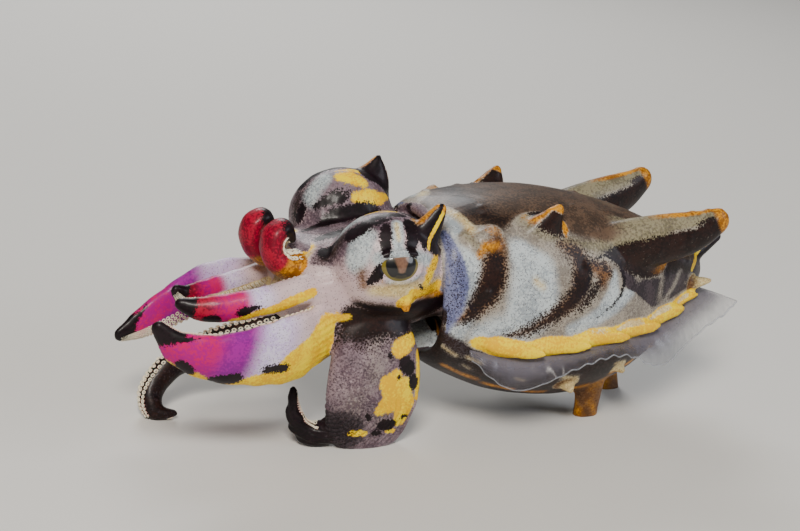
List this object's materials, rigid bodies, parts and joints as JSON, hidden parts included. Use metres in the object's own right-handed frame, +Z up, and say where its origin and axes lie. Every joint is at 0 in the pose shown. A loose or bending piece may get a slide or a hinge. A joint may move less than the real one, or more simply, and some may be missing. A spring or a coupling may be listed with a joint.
{
  "type": "flamboyant cuttlefish",
  "caption": "Small cuttlefish walking on its lowest arms and belly flaps, with upswept skin horns, undulating side fins, bulging lidded eyes and long sucker-lined arms held forward.",
  "frame": {"origin": "centre of the bounding box at floor level", "axes": "+Z up, the animal faces -X, its left side is -Y"},
  "size_m": [0.137, 0.0512, 0.0542],
  "materials": {
    "skin_head": "moist skin, white to lilac with dark brown and yellow patches",
    "skin_mantle": "moist skin, brown and white bands with yellow horn tips",
    "skin_arm": "moist skin, magenta to crimson with yellow lower edge",
    "skin_leg": "moist skin, grey-mauve with dark brown and yellow patches",
    "fin_sheet": "thin translucent grey-lavender skin",
    "eye_cornea": "wet, dark eye under a clear cornea",
    "skin_funnel": "pale bluish-white skin",
    "skin_flap": "orange-brown skin"
  },
  "bodies": {
    "root": {"head": "skin_head", "eye_left": "eye_cornea", "eye_right": "eye_cornea", "mantle": "skin_mantle", "fin_left": "fin_sheet", "fin_right": "fin_sheet", "funnel": "skin_funnel", "walking_flap_left": "skin_flap", "walking_flap_right": "skin_flap", "arm_left_1": "skin_arm", "arm_left_1_tip": "skin_arm", "arm_left_2": "skin_arm", "arm_left_2_tip": "skin_arm", "arm_left_3": "skin_arm", "arm_left_3_tip": "skin_arm", "arm_left_4": "skin_leg", "arm_left_4_tip": "skin_leg", "arm_right_1": "skin_arm", "arm_right_1_tip": "skin_arm", "arm_right_2": "skin_arm", "arm_right_2_tip": "skin_arm", "arm_right_3": "skin_arm", "arm_right_3_tip": "skin_arm", "arm_right_4": "skin_leg", "arm_right_4_tip": "skin_leg"}
  },
  "joints": []
}
